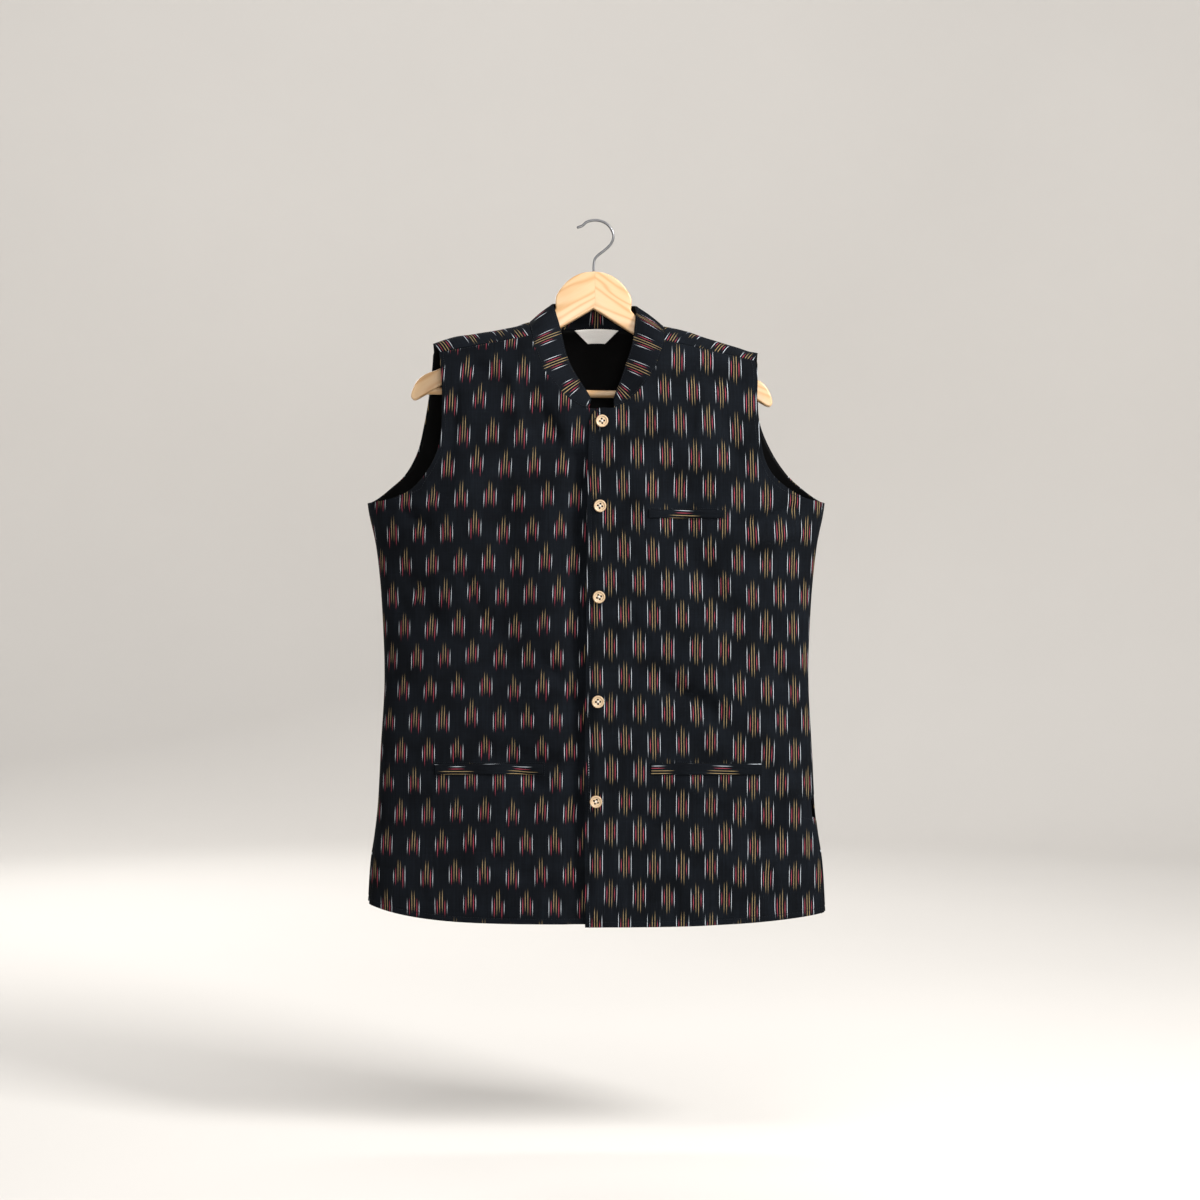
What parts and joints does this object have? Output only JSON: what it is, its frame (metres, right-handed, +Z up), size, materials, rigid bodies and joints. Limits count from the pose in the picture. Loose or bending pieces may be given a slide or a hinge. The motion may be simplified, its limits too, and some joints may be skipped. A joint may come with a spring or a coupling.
{
  "type": "nehru jacket on a hanger",
  "caption": "Sleeveless stand-collar jacket in charcoal ikat cotton with welt pockets and side vents, hanging on a wooden hanger with a wire hook.",
  "frame": {"origin": "underside of the hook's apex, where a rail carries the hanger", "axes": "+Z up, the jacket faces -Y, the wearer's left is at +X"},
  "size_m": [0.5584, 0.1055, 0.8566],
  "materials": {
    "ikat_cotton": "handwoven charcoal cotton with short warp ikat dashes in white, red and ochre",
    "lining": "black satin lining",
    "label": "bare white woven label",
    "button": "turned pale coconut shell, satin",
    "pine": "clear-lacquered pine",
    "steel": "plated steel wire"
  },
  "bodies": {
    "root": {"front_left": "ikat_cotton", "front_right": "ikat_cotton", "back": "ikat_cotton", "collar": "ikat_cotton", "welt_breast": "ikat_cotton", "welt_left": "ikat_cotton", "welt_right": "ikat_cotton", "back_lining": "lining", "label": "label", "button_1": "button", "button_2": "button", "button_3": "button", "button_4": "button", "button_5": "button", "hanger": "pine", "hanger_bar": "pine", "hook": "steel"}
  },
  "joints": []
}
